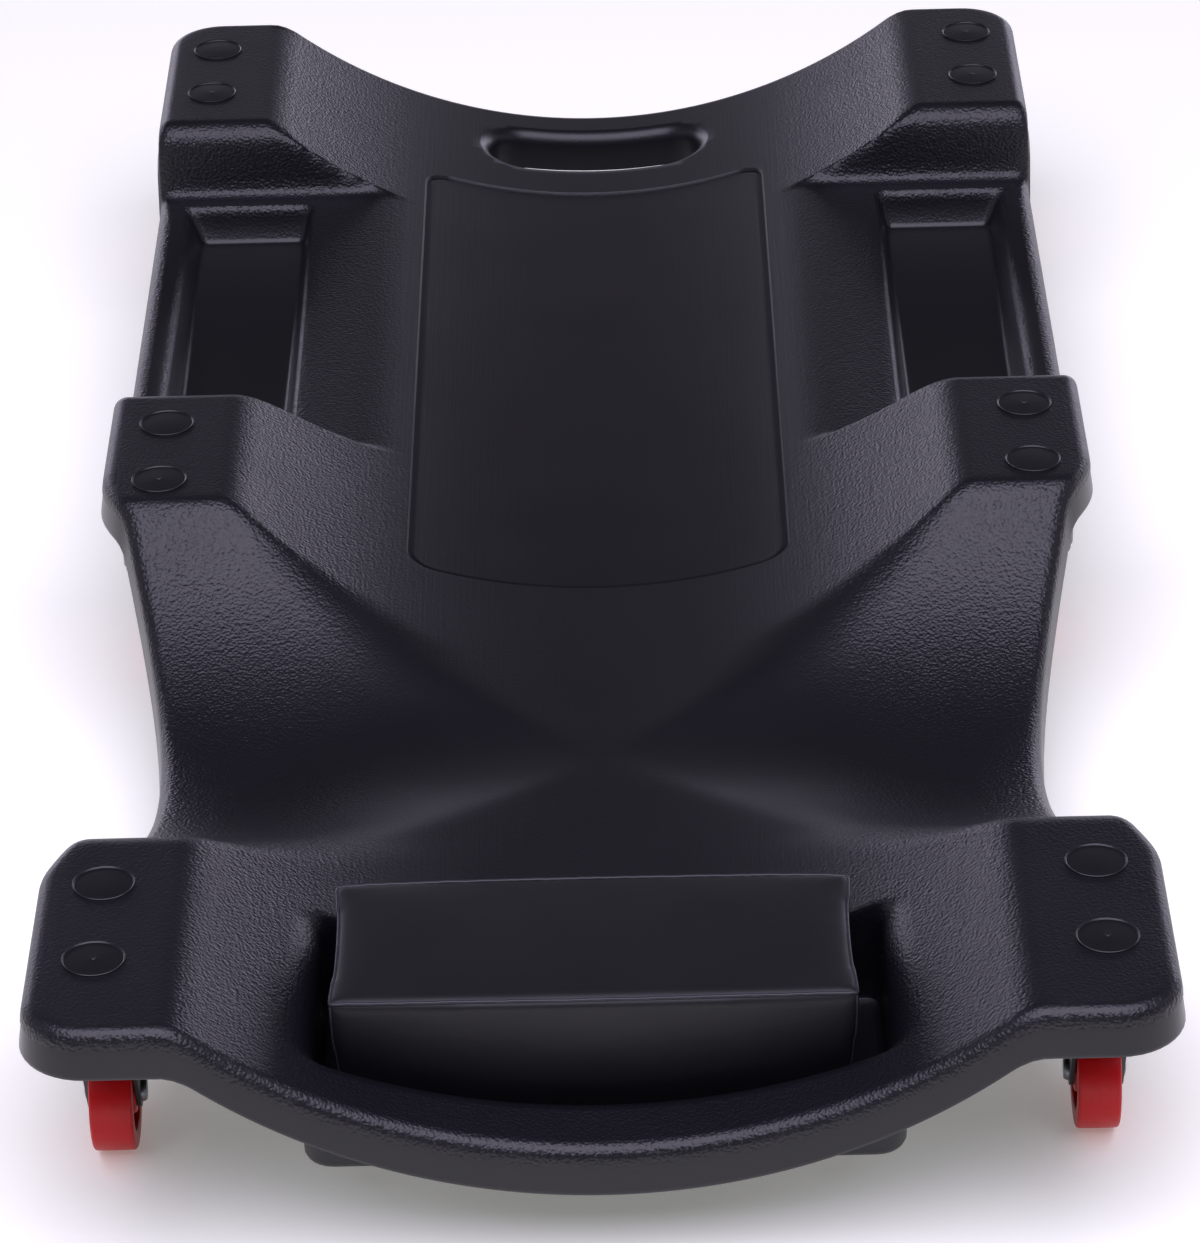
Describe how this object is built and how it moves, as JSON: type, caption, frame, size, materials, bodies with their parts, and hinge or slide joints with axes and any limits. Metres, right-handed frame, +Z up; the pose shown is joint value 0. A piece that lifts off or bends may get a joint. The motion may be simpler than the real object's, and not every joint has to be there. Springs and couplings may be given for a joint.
{
  "type": "mechanic's creeper",
  "caption": "Low moulded creeper for lying under a vehicle, with padded headrest, tool trays, carrying slot and swivel casters.",
  "frame": {"origin": "on the floor, under the centre of the deck's length and width", "axes": "+X to the right of someone who looks from the head end to the foot end, +Y from the head end to the foot end, +Z up"},
  "size_m": [0.465, 1.007, 0.116],
  "materials": {
    "deck_plastic": "fine leather grain, satin",
    "cap_plastic": "smooth, semi gloss",
    "vinyl": "soft vinyl, satin",
    "plywood": "bare",
    "zinc_steel": "zinc plated",
    "bright_steel": "ground bright",
    "plate_paint": "black, satin",
    "fork_paint": "black, satin",
    "wheel_plastic": "red, semi gloss"
  },
  "bodies": {
    "creeper": {"deck": "deck_plastic", "cap_plugs": "cap_plastic", "mount_bolts": "zinc_steel", "mount_washers": "zinc_steel", "mount_nuts": "zinc_steel", "headrest_cushion": "vinyl", "headrest_board": "plywood", "headrest_tee_nuts": "zinc_steel", "headrest_washers": "zinc_steel", "headrest_screws": "zinc_steel", "kingpins": "bright_steel", "swivel_balls": "bright_steel", "plate_head_left": "plate_paint", "plate_head_right": "plate_paint", "plate_mid_left": "plate_paint", "plate_mid_right": "plate_paint", "plate_foot_left": "plate_paint", "plate_foot_right": "plate_paint"},
    "swivel_head_left": {"fork_head_left": "fork_paint", "axle_bolt_head_left": "zinc_steel", "axle_nut_head_left": "zinc_steel", "wheel_bush_head_left": "bright_steel"},
    "roller_head_left": {"wheel_head_left": "wheel_plastic"},
    "swivel_head_right": {"fork_head_right": "fork_paint", "axle_bolt_head_right": "zinc_steel", "axle_nut_head_right": "zinc_steel", "wheel_bush_head_right": "bright_steel"},
    "roller_head_right": {"wheel_head_right": "wheel_plastic"},
    "swivel_mid_left": {"fork_mid_left": "fork_paint", "axle_bolt_mid_left": "zinc_steel", "axle_nut_mid_left": "zinc_steel", "wheel_bush_mid_left": "bright_steel"},
    "roller_mid_left": {"wheel_mid_left": "wheel_plastic"},
    "swivel_mid_right": {"fork_mid_right": "fork_paint", "axle_bolt_mid_right": "zinc_steel", "axle_nut_mid_right": "zinc_steel", "wheel_bush_mid_right": "bright_steel"},
    "roller_mid_right": {"wheel_mid_right": "wheel_plastic"},
    "swivel_foot_left": {"fork_foot_left": "fork_paint", "axle_bolt_foot_left": "zinc_steel", "axle_nut_foot_left": "zinc_steel", "wheel_bush_foot_left": "bright_steel"},
    "roller_foot_left": {"wheel_foot_left": "wheel_plastic"},
    "swivel_foot_right": {"fork_foot_right": "fork_paint", "axle_bolt_foot_right": "zinc_steel", "axle_nut_foot_right": "zinc_steel", "wheel_bush_foot_right": "bright_steel"},
    "roller_foot_right": {"wheel_foot_right": "wheel_plastic"}
  },
  "joints": [
    {"name": "swivel_head_left", "type": "hinge", "parent": "creeper", "child": "swivel_head_left", "pos_m": [-0.2035, -0.419, 0.0645], "axis": [0, 0, 1], "continuous": true},
    {"name": "spin_head_left", "type": "hinge", "parent": "swivel_head_left", "child": "roller_head_left", "pos_m": [-0.2035, -0.408, 0.025], "axis": [1, 0, 0], "continuous": true},
    {"name": "swivel_head_right", "type": "hinge", "parent": "creeper", "child": "swivel_head_right", "pos_m": [0.2035, -0.419, 0.0645], "axis": [0, 0, 1], "continuous": true},
    {"name": "spin_head_right", "type": "hinge", "parent": "swivel_head_right", "child": "roller_head_right", "pos_m": [0.2035, -0.408, 0.025], "axis": [1, 0, 0], "continuous": true},
    {"name": "swivel_mid_left", "type": "hinge", "parent": "creeper", "child": "swivel_mid_left", "pos_m": [-0.2035, -0.00751, 0.0645], "axis": [0, 0, 1], "continuous": true},
    {"name": "spin_mid_left", "type": "hinge", "parent": "swivel_mid_left", "child": "roller_mid_left", "pos_m": [-0.2035, 0.00349, 0.025], "axis": [1, 0, 0], "continuous": true},
    {"name": "swivel_mid_right", "type": "hinge", "parent": "creeper", "child": "swivel_mid_right", "pos_m": [0.2035, -0.00751, 0.0645], "axis": [0, 0, 1], "continuous": true},
    {"name": "spin_mid_right", "type": "hinge", "parent": "swivel_mid_right", "child": "roller_mid_right", "pos_m": [0.2035, 0.00349, 0.025], "axis": [1, 0, 0], "continuous": true},
    {"name": "swivel_foot_left", "type": "hinge", "parent": "creeper", "child": "swivel_foot_left", "pos_m": [-0.2035, 0.435, 0.0645], "axis": [0, 0, 1], "continuous": true},
    {"name": "spin_foot_left", "type": "hinge", "parent": "swivel_foot_left", "child": "roller_foot_left", "pos_m": [-0.2035, 0.446, 0.025], "axis": [1, 0, 0], "continuous": true},
    {"name": "swivel_foot_right", "type": "hinge", "parent": "creeper", "child": "swivel_foot_right", "pos_m": [0.2035, 0.435, 0.0645], "axis": [0, 0, 1], "continuous": true},
    {"name": "spin_foot_right", "type": "hinge", "parent": "swivel_foot_right", "child": "roller_foot_right", "pos_m": [0.2035, 0.446, 0.025], "axis": [1, 0, 0], "continuous": true}
  ]
}
